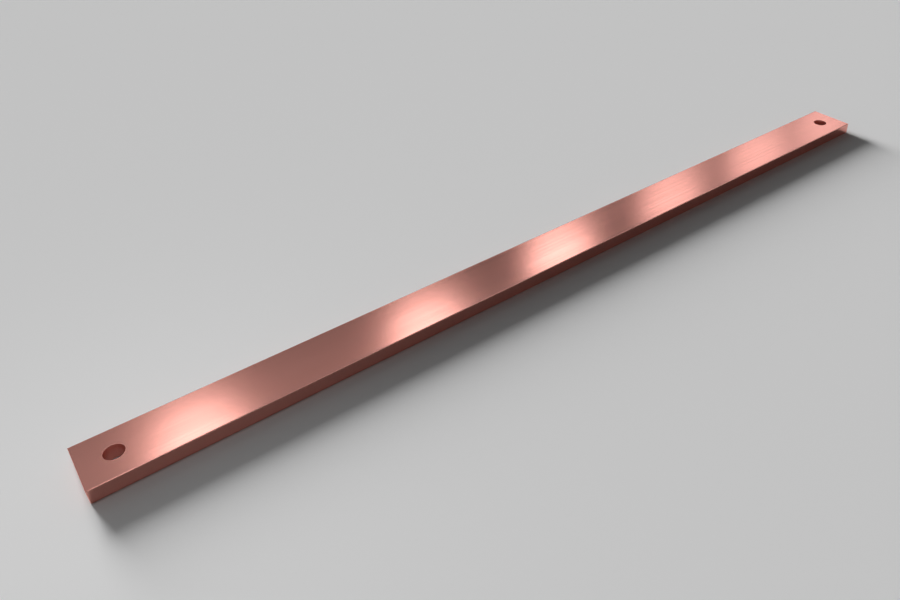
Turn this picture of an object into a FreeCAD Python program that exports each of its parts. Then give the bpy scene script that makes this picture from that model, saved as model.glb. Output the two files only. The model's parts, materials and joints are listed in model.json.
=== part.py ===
"""Copper busbar: a flat drawn bar, cut square, with one bolt hole at each end.

Millimetres. The bar lies on its broad face. X runs along the bar, Y across it and Z up through its
thickness, and the origin is the centre of the face that it lies on.
"""
import FreeCAD
import Part

import math
import os

# Driving dimensions
WIDTH = 40.0
THICKNESS = 10.0
LENGTH = 18 * WIDTH
EDGE_RADIUS = 0.5  # corner radius that the drawing die leaves on the long edges
HOLE_DIAMETER = 12.0  # clearance for an M10 bolt
HOLE_FROM_END = WIDTH / 2  # to the centre of the hole, so that it is as far from the end as from the sides
DEBURR = 0.2  # width of the broken edge at the cut ends and around the holes

HOLE_X = LENGTH / 2 - HOLE_FROM_END
CLOSE = 1e-6

Vector = FreeCAD.Vector


def corner_point(centre, degrees):
    """Point of a corner arc, by its angle in the section's plane: 0 is along +Y and 90 along +Z."""
    angle = math.radians(degrees)
    return centre + Vector(0, EDGE_RADIUS * math.cos(angle), EDGE_RADIUS * math.sin(angle))


def drawn_section(x):
    """Face of the drawn section at x: four flats joined by the corner arcs."""
    side = WIDTH / 2 - EDGE_RADIUS
    low = EDGE_RADIUS
    high = THICKNESS - EDGE_RADIUS
    centres = [Vector(x, side, high), Vector(x, -side, high), Vector(x, -side, low), Vector(x, side, low)]
    arcs = []
    for turn, centre in enumerate(centres):
        start, middle, end = [corner_point(centre, 90 * turn + step) for step in (0, 45, 90)]
        arcs.append(Part.Arc(start, middle, end))
    edges = []
    for arc, next_arc in zip(arcs, arcs[1:] + arcs[:1]):
        edges.append(arc.toShape())
        edges.append(Part.LineSegment(arc.EndPoint, next_arc.StartPoint).toShape())
    return Part.Face(Part.Wire(edges))


def cut_length():
    """Bar of the drawn section, cut square to length, with the edges of its two cut faces broken."""
    bar = drawn_section(-LENGTH / 2).extrude(Vector(LENGTH, 0, 0))
    cut_edges = [edge for edge in bar.Edges if abs(abs(edge.CenterOfMass.x) - LENGTH / 2) < CLOSE]
    return bar.makeChamfer(DEBURR, cut_edges)


def drilled(bar):
    """The bar with its two bolt holes drilled through, and their rims broken on both faces."""
    for x in (-HOLE_X, HOLE_X):
        drill = Part.makeCylinder(HOLE_DIAMETER / 2, THICKNESS, Vector(x, 0, 0), Vector(0, 0, 1))
        bar = bar.cut(drill)
    rims = [edge for edge in bar.Edges if isinstance(edge.Curve, Part.Circle) and edge.isClosed()]
    return bar.makeChamfer(DEBURR, rims)


def main():
    busbar = drilled(cut_length())
    if not busbar.isValid() or len(busbar.Solids) != 1:
        raise RuntimeError("the busbar is not one sound solid")
    os.makedirs("parts", exist_ok=True)
    busbar.Solids[0].exportStep("parts/busbar.step")


main()
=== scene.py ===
"""Flat copper busbar on a plain studio floor: drawn faces, burnished edges whose brighter colour is partly a
painted highlight, sawn ends and drilled holes.
"""

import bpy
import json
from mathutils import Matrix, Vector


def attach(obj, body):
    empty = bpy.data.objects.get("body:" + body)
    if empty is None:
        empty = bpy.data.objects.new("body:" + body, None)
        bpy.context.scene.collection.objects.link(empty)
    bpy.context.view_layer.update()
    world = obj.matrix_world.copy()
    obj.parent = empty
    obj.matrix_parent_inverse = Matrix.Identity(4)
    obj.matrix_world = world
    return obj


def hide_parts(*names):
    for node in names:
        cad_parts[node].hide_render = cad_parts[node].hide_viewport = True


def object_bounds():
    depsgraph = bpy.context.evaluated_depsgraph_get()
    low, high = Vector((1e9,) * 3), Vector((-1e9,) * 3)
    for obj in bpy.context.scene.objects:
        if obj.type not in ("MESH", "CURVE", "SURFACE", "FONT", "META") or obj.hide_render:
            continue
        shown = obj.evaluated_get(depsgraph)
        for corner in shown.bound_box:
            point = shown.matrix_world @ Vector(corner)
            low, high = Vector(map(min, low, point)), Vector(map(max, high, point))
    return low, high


bl_info = {
    "name": "Copper busbar",
    "version": (1, 0, 0),
    "blender": (4, 5, 0),
    "location": "3D View > Sidebar > Busbar",
    "description": "Models a flat drawn copper busbar with a bolt hole at each end, and its studio stage",
    "category": "Add Mesh",
}

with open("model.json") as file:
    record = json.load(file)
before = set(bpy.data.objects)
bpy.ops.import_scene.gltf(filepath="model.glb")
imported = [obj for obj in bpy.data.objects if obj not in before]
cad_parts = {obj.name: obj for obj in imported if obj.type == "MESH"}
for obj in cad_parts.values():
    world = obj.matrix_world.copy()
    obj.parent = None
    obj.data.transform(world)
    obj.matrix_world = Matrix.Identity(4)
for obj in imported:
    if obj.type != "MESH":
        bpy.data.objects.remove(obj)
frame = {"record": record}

import json
import math
from collections import namedtuple

import bmesh
import bpy
from bpy.props import FloatProperty, FloatVectorProperty, IntProperty, PointerProperty
from mathutils import Matrix, Vector

NODE = "busbar"
PIECE = "copper_bar"

MILLIMETRE = 0.001
MICROMETRE = 0.001 * MILLIMETRE
DOWN = Vector((0.0, 0.0, -1.0))

CAD_LOW, CAD_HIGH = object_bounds()
BAR_SIZE = CAD_HIGH - CAD_LOW
BOLT_HOLE = next(mount for mount in frame["record"]["mounts"] if mount["name"] == "right_bolt_hole")
HOLE_WALL = BOLT_HOLE["dims"]["length_mm"] * MILLIMETRE

# Material slots of the bar, in order. The burnished edges' brighter colour is partly rubbed wear and partly
# a painted highlight.
DRAWN, BURNISHED, SAWN, DRILLED = range(4)

# Texture map of the bar, under the name that the export keeps
MAP_NAME = "OFBake"
MAP_GAP = 0.6 * MILLIMETRE  # beside each column
MAP_ROW_GAP = 0.005  # above and below each row, as a share of its height
MAP_PAD_SHARE = 0.2  # of the map's height, for the bar around each hole
ABOUT_ZERO = 0.05  # what a face's normal may lean and still look straight along an axis

# Noise that marks the copper: how many finer layers it has, and the range that nearly all of it lies in
GRAIN_DETAIL = 3.0
GRAIN_SPAN = (0.3, 0.7)

# Lamps mirrored in the top face: where on the face the eye sees each one, and how bright it is
Glint = namedtuple("Glint", "x y level")
CAMERA_GLINTS = (
    Glint(x=-0.3, y=-0.034, level=2.4),
    Glint(x=-0.149, y=-0.034, level=2.5),
    Glint(x=-0.021, y=-0.018, level=2.48),
    Glint(x=0.105, y=-0.013, level=1.7),
    Glint(x=0.222, y=-0.013, level=1.42),
    Glint(x=0.327, y=-0.013, level=1.06),
)
SIDE_GLINTS = (
    Glint(x=-0.23, y=0.0, level=1.5),
    Glint(x=0.0, y=0.0, level=1.5),
    Glint(x=0.23, y=0.0, level=1.5),
)

# Levels of the sky by degrees above the horizon, behind the bar and in front of it
SkyStop = namedtuple("SkyStop", "degrees level")
BACK_SKY = (SkyStop(20, 0.55), SkyStop(35.5, 0.07), SkyStop(43, 0.4), SkyStop(56, 0.02))
FRONT_SKY = (SkyStop(10, 0.55), SkyStop(22, 0.015))  # as the camera and the metal see it
FRONT_LIGHT = (SkyStop(10, 0.15), SkyStop(22, 0.015))  # as it lights the floor

# Depths between which the front sky goes over into the back one: -1 is straight in front, 1 straight behind
FRONT_TO_BACK = (-0.3, 0.35)

FLOOR_REACH = 30.0
FLOOR_CLEARANCE = 0.1 * MILLIMETRE


class BusbarSizes(bpy.types.PropertyGroup):
    """Sizes of the bar. Those that the frame gives are read from it."""

    length: FloatProperty(
        name="Length", description="Length between the cut ends", default=BAR_SIZE.x, unit="LENGTH")
    width: FloatProperty(
        name="Width", description="Width of the drawn section", default=BAR_SIZE.y, unit="LENGTH")
    thickness: FloatProperty(
        name="Thickness", description="Thickness of the drawn section", default=BAR_SIZE.z, unit="LENGTH")
    edge_radius: FloatProperty(
        name="Edge radius", description="Corner radius of the drawn section",
        default=0.5 * MILLIMETRE, unit="LENGTH")
    edge_steps: IntProperty(
        name="Edge steps", description="Flats around a corner of the drawn section", default=6)
    hole_radius: FloatProperty(
        name="Hole radius", description="Radius of a bolt hole's wall",
        default=BOLT_HOLE["dims"]["r_mm"] * MILLIMETRE, unit="LENGTH")
    hole_x: FloatProperty(
        name="Hole place", description="From the middle of the bar to the centre of a bolt hole",
        default=BOLT_HOLE["pos_m"][0], unit="LENGTH")
    hole_steps: IntProperty(
        name="Hole steps", description="Flats around a bolt hole, a multiple of eight", default=96)
    deburr: FloatProperty(
        name="Deburring", description="Width of the broken edge at the cut ends and the hole rims",
        default=(BAR_SIZE.z - HOLE_WALL) / 2, unit="LENGTH")
    deburr_steps: IntProperty(
        name="Deburring steps", description="Flats across a broken edge", default=3)


class CopperLooks(bpy.types.PropertyGroup):
    """Colours and marks of the copper."""

    clean: FloatVectorProperty(
        name="Clean", description="Colour of clean copper",
        subtype="COLOR", size=4, default=(0.92, 0.42, 0.355, 1.0))
    toned: FloatVectorProperty(
        name="Toned", description="Colour under a thin film of oxide",
        subtype="COLOR", size=4, default=(0.87, 0.375, 0.31, 1.0))
    # Brighter than clean copper: partly the rubbed wear of the edges, partly a painted highlight along them.
    rubbed_and_highlight: FloatVectorProperty(
        name="Rubbed", description="Colour of the rubbed edges",
        subtype="COLOR", size=4, default=(0.94, 0.47, 0.39, 1.0))
    fresh: FloatVectorProperty(
        name="Fresh", description="Colour of freshly cut copper",
        subtype="COLOR", size=4, default=(0.94, 0.48, 0.41, 1.0))
    glancing: FloatVectorProperty(
        name="Glancing", description="Tint of a glancing reflection",
        subtype="COLOR", size=4, default=(1.0, 0.85, 0.86, 1.0))
    drawn_roughness: FloatProperty(
        name="Drawn roughness", description="Roughness of the drawn faces", default=0.18, subtype="FACTOR")
    rubbed_roughness: FloatProperty(
        name="Rubbed roughness", description="Roughness of the rubbed edges", default=0.17, subtype="FACTOR")
    cut_roughness: FloatProperty(
        name="Cut roughness", description="Roughness of the sawn ends", default=0.34, subtype="FACTOR")
    bore_roughness: FloatProperty(
        name="Bore roughness", description="Roughness of the drilled walls", default=0.36, subtype="FACTOR")
    drawn_change: FloatProperty(
        name="Drawn change", description="How far the roughness of the drawn faces varies",
        default=0.03, subtype="FACTOR")
    cut_change: FloatProperty(
        name="Cut change", description="How far the roughness of the cut faces varies",
        default=0.08, subtype="FACTOR")
    film_share: FloatProperty(
        name="Film share", description="How far the clouds of film tone the copper",
        default=0.3, subtype="FACTOR")
    line_share: FloatProperty(
        name="Line share", description="How far the die's lines tone the copper",
        default=0.4, subtype="FACTOR")
    cloud_size: FloatProperty(
        name="Cloud size", description="Size of a cloud of oxide film",
        default=35 * MILLIMETRE, unit="LENGTH")
    line_width: FloatProperty(
        name="Line width", description="Width of the die's lines",
        default=0.8 * MILLIMETRE, unit="LENGTH")
    line_length: FloatProperty(
        name="Line length", description="Length of the die's lines",
        default=260 * MILLIMETRE, unit="LENGTH")
    line_depth: FloatProperty(
        name="Line depth", description="Depth of the die's lines",
        default=1.6 * MICROMETRE, unit="LENGTH")
    saw_width: FloatProperty(
        name="Saw line width", description="Width of the saw's lines",
        default=0.35 * MILLIMETRE, unit="LENGTH")
    saw_length: FloatProperty(
        name="Saw line length", description="Length of the saw's lines",
        default=14 * MILLIMETRE, unit="LENGTH")
    saw_depth: FloatProperty(
        name="Saw line depth", description="Depth of the saw's lines",
        default=5.6 * MICROMETRE, unit="LENGTH")
    ring_width: FloatProperty(
        name="Ring width", description="Width of the drill's rings",
        default=0.25 * MILLIMETRE, unit="LENGTH")
    ring_length: FloatProperty(
        name="Ring length", description="Length of the drill's rings",
        default=15 * MILLIMETRE, unit="LENGTH")
    ring_depth: FloatProperty(
        name="Ring depth", description="Depth of the drill's rings",
        default=3 * MICROMETRE, unit="LENGTH")


class StudioLooks(bpy.types.PropertyGroup):
    """Camera, floor and light of the stage."""

    camera_place: FloatVectorProperty(
        name="Camera place", description="Where the camera stands",
        subtype="TRANSLATION", default=(-0.3447, -0.3959, 0.3615))
    camera_turn: FloatProperty(
        name="Camera turn", description="Turn of the view from straight across the bar, towards +X",
        default=math.radians(39.517), unit="ROTATION")
    camera_tilt: FloatProperty(
        name="Camera tilt", description="Tilt of the view below the horizon",
        default=math.radians(33.838), unit="ROTATION")
    camera_lens: FloatProperty(
        name="Camera lens", description="Focal length in millimetres on a sensor 36 mm wide", default=31.74)
    camera_shift: FloatVectorProperty(
        name="Camera shift", description="Shift of the lens, in widths of the picture",
        size=2, default=(-0.1109, -0.0659))
    floor: FloatVectorProperty(
        name="Floor", description="Colour of the floor",
        subtype="COLOR", size=4, default=(0.82, 0.82, 0.82, 1.0))
    sky: FloatProperty(
        name="Sky", description="Brightness of the sky, over its own levels", default=1.0)
    key: FloatProperty(
        name="Key", description="Strength of the broad lamp behind the bar", default=8.2)
    key_turn: FloatProperty(
        name="Key turn", description="Turn of the broad lamp from straight behind, towards +X",
        default=math.radians(-3), unit="ROTATION")
    key_rise: FloatProperty(
        name="Key rise", description="Height of the broad lamp above the horizon",
        default=math.radians(12), unit="ROTATION")
    key_angle: FloatProperty(
        name="Key angle", description="Apparent width of the broad lamp",
        default=math.radians(20), unit="ROTATION")
    fill: FloatProperty(
        name="Fill", description="Level of the small lamp over the nearer bolt hole", default=2.5)
    fill_size: FloatProperty(
        name="Fill size", description="Width of the small lamp over the nearer bolt hole",
        default=0.083, unit="LENGTH")
    fill_place: FloatVectorProperty(
        name="Fill place", description="Where the small lamp over the nearer bolt hole hangs",
        subtype="TRANSLATION", default=(-0.335, -0.012, 0.22))
    edge_light: FloatProperty(
        name="Edge light", description="Level of the long lamp overhead", default=0.7)
    edge_light_length: FloatProperty(
        name="Edge light length", description="Length of the long lamp overhead, along the bar",
        default=4.0, unit="LENGTH")
    edge_light_width: FloatProperty(
        name="Edge light width", description="Width of the long lamp overhead",
        default=0.9, unit="LENGTH")
    edge_light_place: FloatVectorProperty(
        name="Edge light place", description="Where the long lamp overhead hangs",
        subtype="TRANSLATION", default=(0.0, 0.16, 1.2))
    glint: FloatProperty(
        name="Glint", description="Brightness of the mirrored lamps, over their own levels", default=1.0)
    glint_reach: FloatProperty(
        name="Glint reach", description="How far off the mirrored lamps are, over the eye's own distance",
        default=2.0)
    glint_size: FloatProperty(
        name="Glint size", description="Width of a lamp that is mirrored to the camera",
        default=0.16, unit="LENGTH")
    side_glint_size: FloatProperty(
        name="Side glint size", description="Width of a lamp that is mirrored to the other eyes",
        default=0.3, unit="LENGTH")
    right_eye: FloatVectorProperty(
        name="Right eye", description="Eye in front on the right, with lamps mirrored to it",
        subtype="TRANSLATION", default=(0.673, -0.673, 0.444))
    back_eye: FloatVectorProperty(
        name="Back eye", description="Eye behind on the left, with lamps mirrored to it",
        subtype="TRANSLATION", default=(-0.717, 0.717, 0.272))


class Value:
    """A number in a node tree. Arithmetic on it adds Math nodes."""

    def __init__(self, tree, socket):
        self.tree = tree
        self.socket = socket

    def maths(self, operation, first, second):
        inputs = {"Value": first, "Value_001": second}
        return self.tree.add("ShaderNodeMath", {"operation": operation}, inputs)

    def __add__(self, other):
        return self.maths("ADD", self, other)

    def __radd__(self, other):
        return self.maths("ADD", other, self)

    def __sub__(self, other):
        return self.maths("SUBTRACT", self, other)

    def __rsub__(self, other):
        return self.maths("SUBTRACT", other, self)

    def __mul__(self, other):
        return self.maths("MULTIPLY", self, other)

    def __rmul__(self, other):
        return self.maths("MULTIPLY", other, self)


def set_stops(ramp, stops):
    """Gives a ramp its stops, pairs of a place and a grey level, eased into each other."""
    ramp.interpolation = "EASE"
    ramp.elements.remove(ramp.elements[-1])
    for number, (place, level) in enumerate(stops):
        element = ramp.elements.new(place) if number else ramp.elements[0]
        element.position = place
        element.color = (level, level, level, 1.0)


class Tree:
    """Node tree of a material or of the world."""

    def __init__(self, node_tree):
        self.nodes = node_tree.nodes
        self.links = node_tree.links
        self.nodes.clear()

    def add(self, kind, settings=None, inputs=None, output=None):
        """Adds a node with its settings and the values or links of its inputs, and gives one output."""
        node = self.nodes.new(kind)
        for name, setting in (settings or {}).items():
            if name == "stops":
                set_stops(node.color_ramp, setting)
            else:
                setattr(node, name, setting)
        sockets = {socket.identifier: socket for socket in node.inputs}
        for name, value in (inputs or {}).items():
            if isinstance(value, Value):
                self.links.new(value.socket, sockets[name])
            else:
                sockets[name].default_value = value
        if not node.outputs:
            return None
        results = {socket.identifier: socket for socket in node.outputs}
        return Value(self, results[output] if output else node.outputs[0])

    def grain(self, *cell):
        """Noise from 0 to 1, fixed to the bar, each cell of it as long, wide and high as given."""
        place = self.add("ShaderNodeTexCoord", output="Object")
        scale = [1.0 / side for side in cell]
        scaled = self.add("ShaderNodeMapping", None, {"Vector": place, "Scale": scale})
        noise = self.add("ShaderNodeTexNoise", None, {
            "Vector": scaled, "Scale": 1.0, "Detail": GRAIN_DETAIL})
        return self.spread(noise, *GRAIN_SPAN)

    def spread(self, value, low, high):
        """A value between low and high, stretched smoothly to 0 to 1 and held there."""
        return self.add("ShaderNodeMapRange", {"interpolation_type": "SMOOTHSTEP"}, {
            "Value": value, "From Min": low, "From Max": high})

    def mixed(self, factor, first, second):
        """A colour between two colours."""
        return self.add("ShaderNodeMix", {"data_type": "RGBA"}, {
            "Factor_Float": factor, "A_Color": first, "B_Color": second}, "Result_Color")


def new_material(name):
    """A node material with an empty tree, and that tree."""
    material = bpy.data.materials.new(name)
    material.use_nodes = True
    return material, Tree(material.node_tree)


def copper_shader(tree, looks, colour, roughness, marks, depth):
    """Bare copper with marks of a depth in its surface."""
    normal = tree.add("ShaderNodeBump", None, {"Strength": 1.0, "Distance": depth, "Height": marks})
    shader = tree.add("ShaderNodeBsdfPrincipled", None, {
        "Base Color": colour, "Metallic": 1.0, "Roughness": roughness, "Normal": normal,
        "Specular Tint": looks.glancing})
    tree.add("ShaderNodeOutputMaterial", None, {"Surface": shader})


def drawn_copper(looks):
    """Flat faces: fine lines of the die along the bar, and slow clouds of oxide film."""
    material, tree = new_material("drawn_copper")
    lines = tree.grain(looks.line_length, looks.line_width, looks.line_width)
    clouds = tree.grain(2 * looks.cloud_size, looks.cloud_size, looks.cloud_size)
    colour = tree.mixed(clouds * looks.film_share + lines * looks.line_share, looks.clean, looks.toned)
    roughness = looks.drawn_roughness + (lines - 0.5) * looks.drawn_change
    copper_shader(tree, looks, colour, roughness, lines, looks.line_depth)
    return material


def burnished_highlit_copper(looks):
    """Rounded long edges: rubbed smoother than the faces, with the die's lines. Their brighter colour is
    partly rubbed wear and partly a painted highlight.
    """
    material, tree = new_material("burnished_highlit_copper")
    lines = tree.grain(looks.line_length, looks.line_width, looks.line_width)
    rubs_and_highlight = tree.grain(looks.cloud_size, looks.cloud_size, looks.cloud_size)
    # Painted highlight: where the rubbed colour shows, the rounded edges are brighter, partly as wear and
    # partly in place of a highlight.
    colour = tree.mixed(rubs_and_highlight, looks.rubbed_and_highlight, looks.clean)
    roughness = looks.rubbed_roughness + (rubs_and_highlight - 0.5) * looks.drawn_change
    copper_shader(tree, looks, colour, roughness, lines, looks.line_depth)
    return material


def sawn_copper(looks):
    """Cut ends: the saw's lines run down through the thickness."""
    material, tree = new_material("sawn_copper")
    lines = tree.grain(looks.saw_width, looks.saw_width, looks.saw_length)
    colour = tree.mixed(lines, looks.toned, looks.fresh)
    roughness = looks.cut_roughness + (lines - 0.5) * looks.cut_change
    copper_shader(tree, looks, colour, roughness, lines, looks.saw_depth)
    return material


def drilled_copper(looks):
    """Hole walls and their broken rims: the drill's fine rings around the bore."""
    material, tree = new_material("drilled_copper")
    rings = tree.grain(looks.ring_length, looks.ring_length, looks.ring_width)
    colour = tree.mixed(rings, looks.clean, looks.fresh)
    roughness = looks.bore_roughness + (rings - 0.5) * looks.cut_change
    copper_shader(tree, looks, colour, roughness, rings, looks.ring_depth)
    return material


def same(value, target):
    """Whether two lengths are the same to a micrometre."""
    return abs(value - target) < MICROMETRE


def new_vertices(made):
    """The vertices among what an extrusion made."""
    return [item for item in made["geom"] if isinstance(item, bmesh.types.BMVert)]


def end_pad(bm, sizes):
    """Flat square pad around the bolt hole of the +X end: the rim, drawn out to the pad's square outline."""
    centre = Vector((sizes.hole_x, 0.0, 0.0))
    half = sizes.width / 2
    rim = bmesh.ops.create_circle(
        bm, segments=sizes.hole_steps, radius=sizes.hole_radius, matrix=Matrix.Translation(centre))["verts"]
    rim_edges = {edge for vertex in rim for edge in vertex.link_edges}
    outline = new_vertices(bmesh.ops.extrude_edge_only(bm, edges=list(rim_edges)))
    for vertex in outline:
        reach = vertex.co - centre
        vertex.co = centre + reach * (half / max(abs(reach.x), abs(reach.y)))
    # At the bar's own corners the spoke to the rim goes, so that the roundings meet there alone
    corners = [v for v in outline if same(v.co.x, sizes.length / 2) and same(abs(v.co.y), half)]
    spokes = [edge for v in corners for edge in v.link_edges if edge.other_vert(v) in rim]
    bmesh.ops.dissolve_edges(bm, edges=spokes, use_verts=False)


def flat_plan(bm, sizes):
    """Plan of the bar in the plane of its lower face: the +X half, then its mirror image."""
    end_pad(bm, sizes)
    pad_side = sizes.hole_x - sizes.width / 2
    side_edges = [edge for edge in bm.edges if all(same(v.co.x, pad_side) for v in edge.verts)]
    for vertex in new_vertices(bmesh.ops.extrude_edge_only(bm, edges=side_edges)):
        vertex.co.x = 0.0
    bmesh.ops.mirror(bm, geom=bm.verts[:] + bm.edges[:] + bm.faces[:], axis="X", merge_dist=MICROMETRE)


def broken_edges(bm, edges, width, steps, slot):
    """Rounds edges to a width and gives the new faces their slot."""
    made = bmesh.ops.bevel(
        bm, geom=edges, offset=width, offset_type="OFFSET", affect="EDGES", segments=steps, profile=0.5,
        material=-1, clamp_overlap=True)
    for face in made["faces"]:
        face.material_index = slot
        face.smooth = True


def way(value):
    """Whether a value is clearly below zero, about zero or clearly above it, as -1, 0 or 1."""
    return 0 if abs(value) < ABOUT_ZERO else math.copysign(1, value)


def map_columns(sizes):
    """Left edges of the texture map's columns, and the width of the whole map.

    A column goes by its slot and by the way that its faces look across the bar and up. The last column has a
    row for each cut face and each hole.
    """
    rounding = math.pi / 2 * sizes.edge_radius
    widths = {}
    for turn in (-1, 1):
        widths[DRAWN, 0, turn] = sizes.width - 2 * sizes.edge_radius
        widths[DRAWN, turn, 0] = sizes.thickness - 2 * sizes.edge_radius
        widths[BURNISHED, turn, -1] = rounding
        widths[BURNISHED, turn, 1] = rounding
    widths["cuts"] = sizes.thickness + 2 * sizes.deburr
    lefts = {}
    right = MAP_GAP
    for column, width in widths.items():
        lefts[column] = right
        right += width + MAP_GAP
    return lefts, right


def along_bar(x, sizes):
    """Height in the texture map of a place along the bar, drawn out around the holes, from 0 to 1."""
    middle = sizes.length / 2 - sizes.width
    past_middle = max(abs(x) - middle, 0.0) / sizes.width
    within_middle = min(abs(x), middle) / middle
    from_middle = within_middle * (0.5 - MAP_PAD_SHARE) + past_middle * MAP_PAD_SHARE
    return 0.5 + math.copysign(from_middle, x)


def drawn_place(place, looks_up, sizes):
    """Place across and along one flat of the drawn section."""
    across = place.y + sizes.width / 2 if looks_up else place.z
    return across - sizes.edge_radius, along_bar(place.x, sizes)


def burnished_place(place, sizes):
    """Place around and along a rounded edge."""
    beside = abs(place.y) - sizes.width / 2 + sizes.edge_radius
    above = abs(place.z - sizes.thickness / 2) - sizes.thickness / 2 + sizes.edge_radius
    return math.atan2(above, beside) * sizes.edge_radius, along_bar(place.x, sizes)


def sawn_place(place, sizes):
    """Place up and across a cut end, whose broken edges are folded out flat."""
    depth = sizes.length / 2 - abs(place.x)
    up = (place.z - sizes.thickness / 2) * (1 + 2 * depth / sizes.thickness)
    across = place.y * (1 + 2 * depth / sizes.width)
    return up + sizes.thickness / 2 + sizes.deburr, across / (sizes.width + 2 * sizes.deburr) + 0.5


def drilled_place(place, middle, sizes):
    """Place up and around a hole, whose broken rims are folded out flat, for a face with that middle."""
    spoke = Vector((abs(place.x) - sizes.hole_x, place.y))
    middle_spoke = Vector((abs(middle.x) - sizes.hole_x, middle.y))
    rim = math.copysign(spoke.length - sizes.hole_radius, place.z - sizes.thickness / 2)
    turn = math.atan2(middle_spoke.y, middle_spoke.x) - middle_spoke.angle_signed(spoke)
    return place.z + rim + sizes.deburr, turn / (2 * math.pi) + 0.5


def lay_out(bm, sizes):
    """Lays the bar's faces out in its texture map."""
    lefts, whole = map_columns(sizes)
    cut_rows = [(slot, end) for slot in (SAWN, DRILLED) for end in (-1, 1)]
    layer = bm.loops.layers.uv.new(MAP_NAME)
    bm.normal_update()
    for face in bm.faces:
        slot = face.material_index
        looks = (way(face.normal.y), way(face.normal.z))
        middle = face.calc_center_median()
        column = "cuts" if slot in (SAWN, DRILLED) else (slot, *looks)
        row = cut_rows.index((slot, way(middle.x))) if column == "cuts" else 0
        rows = len(cut_rows) if column == "cuts" else 1
        for loop in face.loops:
            if slot == DRAWN:
                across, along = drawn_place(loop.vert.co, looks[1], sizes)
            elif slot == BURNISHED:
                across, along = burnished_place(loop.vert.co, sizes)
            elif slot == SAWN:
                across, along = sawn_place(loop.vert.co, sizes)
            else:
                across, along = drilled_place(loop.vert.co, middle, sizes)
            height = (row + MAP_ROW_GAP + along * (1 - 2 * MAP_ROW_GAP)) / rows
            loop[layer].uv = ((lefts[column] + across) / whole, height)


def bar_mesh(sizes):
    """Mesh of the bar: the plan raised to its thickness, with its rims, long edges and cut ends rounded."""
    bm = bmesh.new()
    flat_plan(bm, sizes)
    raised = new_vertices(bmesh.ops.extrude_face_region(bm, geom=bm.faces[:], use_keep_orig=True))
    bmesh.ops.translate(bm, verts=raised, vec=(0.0, 0.0, sizes.thickness))
    bmesh.ops.recalc_face_normals(bm, faces=bm.faces[:])

    def on_rim(vertex):
        from_centre = Vector((abs(vertex.co.x) - sizes.hole_x, vertex.co.y))
        return same(from_centre.length, sizes.hole_radius)

    def on_side(vertex):
        return same(abs(vertex.co.y), sizes.width / 2)

    def on_end(vertex):
        return same(abs(vertex.co.x), sizes.length / 2)

    def level_edges(on_line):
        return [edge for edge in bm.edges
                if same(edge.verts[0].co.z, edge.verts[1].co.z) and all(on_line(v) for v in edge.verts)]

    for face in bm.faces:
        if all(on_rim(vertex) for vertex in face.verts):
            face.material_index = DRILLED
            face.smooth = True
        elif all(on_end(vertex) for vertex in face.verts):
            face.material_index = SAWN
    broken_edges(bm, level_edges(on_rim), sizes.deburr, sizes.deburr_steps, DRILLED)
    broken_edges(bm, level_edges(on_side), sizes.edge_radius, sizes.edge_steps, BURNISHED)
    cut_edges = [edge for edge in bm.edges
                 if len({face.material_index == SAWN for face in edge.link_faces}) == 2]
    broken_edges(bm, cut_edges, sizes.deburr, sizes.deburr_steps, SAWN)
    lay_out(bm, sizes)
    mesh = bpy.data.meshes.new(PIECE)
    bm.to_mesh(mesh)
    bm.free()
    return mesh


class BUSBAR_OT_make_bar(bpy.types.Operator):
    """Models the bar in place of the frame's own node, with its four copper finishes"""

    bl_idname = "busbar.make_bar"
    bl_label = "Make bar"

    def execute(self, context):
        mesh = bar_mesh(context.scene.busbar_sizes)
        for finish in (drawn_copper, burnished_highlit_copper, sawn_copper, drilled_copper):
            mesh.materials.append(finish(context.scene.copper_looks))
        bar = bpy.data.objects.new(PIECE, mesh)
        context.scene.collection.objects.link(bar)
        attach(bar, "root")
        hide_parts(NODE)
        return {"FINISHED"}


def set_camera(scene, studio):
    """Camera at the place, turn and tilt of the studio settings."""
    data = bpy.data.cameras.new("camera")
    data.lens = studio.camera_lens
    data.shift_x, data.shift_y = studio.camera_shift
    camera = bpy.data.objects.new("camera", data)
    camera.location = studio.camera_place
    camera.rotation_euler = (math.pi / 2 - studio.camera_tilt, 0.0, -studio.camera_turn)
    scene.collection.objects.link(camera)
    scene.camera = camera


def set_floor(scene, studio):
    """Wide pale floor, just clear of the bar's lower face."""
    bm = bmesh.new()
    bmesh.ops.create_grid(bm, x_segments=1, y_segments=1, size=FLOOR_REACH)
    bmesh.ops.translate(bm, verts=bm.verts[:], vec=(0.0, 0.0, CAD_LOW.z - FLOOR_CLEARANCE))
    mesh = bpy.data.meshes.new("floor")
    bm.to_mesh(mesh)
    bm.free()
    material, tree = new_material("floor")
    shader = tree.add("ShaderNodeBsdfDiffuse", None, {"Color": studio.floor})
    tree.add("ShaderNodeOutputMaterial", None, {"Surface": shader})
    mesh.materials.append(material)
    floor = bpy.data.objects.new("floor", mesh)
    scene.collection.objects.link(floor)


def sky_level(tree, height, sky):
    """Level of a sky by the height of a direction above the horizon."""
    stops = [(math.sin(math.radians(stop.degrees)), stop.level) for stop in sky]
    return tree.add("ShaderNodeValToRGB", {"stops": stops}, {"Fac": height})


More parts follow.
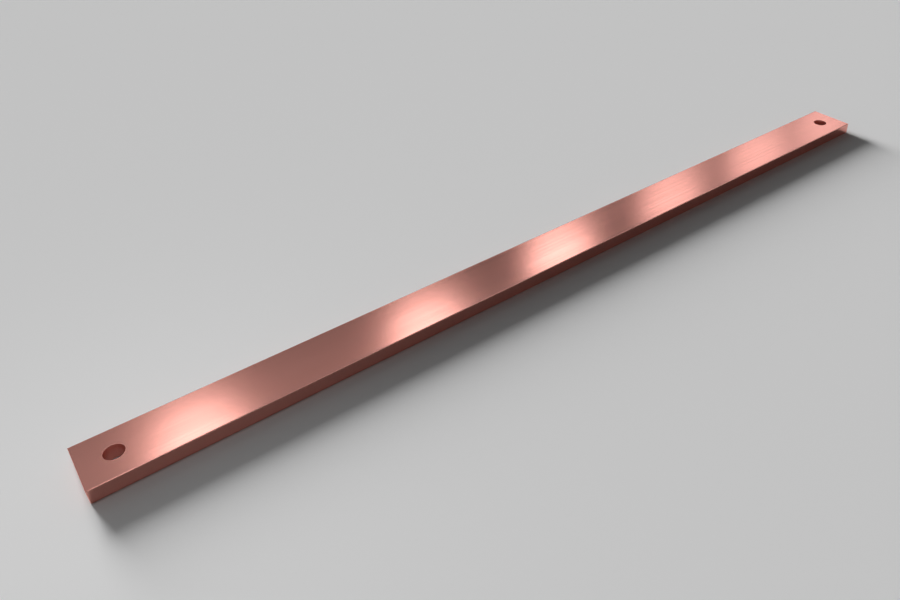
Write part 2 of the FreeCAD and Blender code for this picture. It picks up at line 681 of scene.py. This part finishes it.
def set_world(scene, studio):
    """Soft light all round: a pale horizon, dim above it. The front gives the floor less than is seen."""
    world = bpy.data.worlds.new("studio")
    world.use_nodes = True
    tree = Tree(world.node_tree)
    direction = tree.add("ShaderNodeTexCoord", output="Generated")
    depth = tree.add("ShaderNodeSeparateXYZ", None, {"Vector": direction}, "Y")
    height = tree.add("ShaderNodeSeparateXYZ", None, {"Vector": direction}, "Z")
    seen = tree.add("ShaderNodeLightPath", output="Is Camera Ray")
    mirrored = tree.add("ShaderNodeLightPath", output="Is Glossy Ray")
    front = tree.mixed(
        seen + mirrored, sky_level(tree, height, FRONT_LIGHT), sky_level(tree, height, FRONT_SKY))
    back = sky_level(tree, height, BACK_SKY)
    level = tree.mixed(tree.spread(depth, *FRONT_TO_BACK), front, back)
    light = tree.add("ShaderNodeBackground", None, {"Color": level, "Strength": studio.sky})
    tree.add("ShaderNodeOutputWorld", None, {"Surface": light})
    scene.world = world


def aimed(direction):
    """Turn of a lamp that shines along a direction."""
    return Vector(direction).to_track_quat("-Z", "Y").to_euler()


def set_key(scene, studio):
    """Broad low lamp behind the bar, unseen in the metal: it lights the floor and casts the shadow."""
    data = bpy.data.lights.new("key", "SUN")
    data.energy = studio.key
    data.angle = studio.key_angle
    lamp = bpy.data.objects.new("key", data)
    across = math.cos(studio.key_rise)
    to_lamp = Vector((
        math.sin(studio.key_turn) * across, math.cos(studio.key_turn) * across, math.sin(studio.key_rise)))
    lamp.rotation_euler = aimed(-to_lamp)
    lamp.visible_glossy = False
    scene.collection.objects.link(lamp)


def add_lamp(scene, name, place, direction, length, width, level):
    """Oval lamp that shines along a direction, as bright as a white surface lit to a level."""
    area = math.pi * length * width / 4
    data = bpy.data.lights.new(name, "AREA")
    data.shape = "ELLIPSE"
    data.size = length
    data.size_y = width
    data.energy = level * math.pi * area
    lamp = bpy.data.objects.new(name, data)
    lamp.location = place
    lamp.rotation_euler = aimed(direction)
    lamp.visible_camera = False
    scene.collection.objects.link(lamp)
    return lamp


def set_fill(scene, studio):
    """Small lamp that hangs over the nearer bolt hole and reaches down into it."""
    add_lamp(scene, "fill", studio.fill_place, DOWN, studio.fill_size, studio.fill_size, studio.fill)


def set_edge_light(scene, studio):
    """Long lamp overhead, seen in the metal alone, that the rounded edges mirror as a thin line."""
    lamp = add_lamp(
        scene, "edge_light", studio.edge_light_place, DOWN,
        studio.edge_light_length, studio.edge_light_width, studio.edge_light)
    lamp.visible_diffuse = False


def add_glints(scene, studio, name, eye, glints, size):
    """Row of lamps, seen in the metal alone, each set where an eye sees it mirrored in the top face."""
    for number, glint in enumerate(glints):
        spot = Vector((glint.x, glint.y, CAD_HIGH.z))
        mirrored = (spot - Vector(eye)) * Vector((1.0, 1.0, -1.0))
        place = spot + mirrored * studio.glint_reach
        level = glint.level * studio.glint
        lamp = add_lamp(scene, f"{name}_{number}", place, -mirrored, size, size, level)
        lamp.visible_diffuse = False


def set_glints(scene, studio):
    """Lamps mirrored to the camera, and to an eye on either side of it."""
    add_glints(scene, studio, "camera_glint", studio.camera_place, CAMERA_GLINTS, studio.glint_size)
    add_glints(scene, studio, "right_glint", studio.right_eye, SIDE_GLINTS, studio.side_glint_size)
    add_glints(scene, studio, "back_glint", studio.back_eye, SIDE_GLINTS, studio.side_glint_size)


class BUSBAR_OT_set_stage(bpy.types.Operator):
    """Sets the camera, the pale floor, the soft sky and the lamps"""

    bl_idname = "busbar.set_stage"
    bl_label = "Set stage"

    def execute(self, context):
        scene = context.scene
        scene.view_settings.view_transform = "Standard"
        for put in (set_camera, set_floor, set_world, set_key, set_fill, set_edge_light, set_glints):
            put(scene, scene.studio_looks)
        return {"FINISHED"}


class BUSBAR_PT_sidebar(bpy.types.Panel):
    """Sizes and looks of the busbar"""

    bl_label = "Copper busbar"
    bl_space_type = "VIEW_3D"
    bl_region_type = "UI"
    bl_category = "Busbar"

    def draw(self, context):
        for group in (context.scene.busbar_sizes, context.scene.copper_looks, context.scene.studio_looks):
            box = self.layout.box()
            for name in group.__annotations__:
                box.prop(group, name)
        for operator in (BUSBAR_OT_make_bar, BUSBAR_OT_set_stage):
            self.layout.operator(operator.bl_idname)


CLASSES = (
    BusbarSizes, CopperLooks, StudioLooks,
    BUSBAR_OT_make_bar, BUSBAR_OT_set_stage, BUSBAR_PT_sidebar,
)


def register():
    for item in CLASSES:
        bpy.utils.register_class(item)
    bpy.types.Scene.busbar_sizes = PointerProperty(type=BusbarSizes)
    bpy.types.Scene.copper_looks = PointerProperty(type=CopperLooks)
    bpy.types.Scene.studio_looks = PointerProperty(type=StudioLooks)


def unregister():
    del bpy.types.Scene.studio_looks
    del bpy.types.Scene.copper_looks
    del bpy.types.Scene.busbar_sizes
    for item in reversed(CLASSES):
        bpy.utils.unregister_class(item)


def main():
    register()
    bpy.ops.busbar.make_bar()
    bpy.ops.busbar.set_stage()


if __name__ == "__main__":
    main()
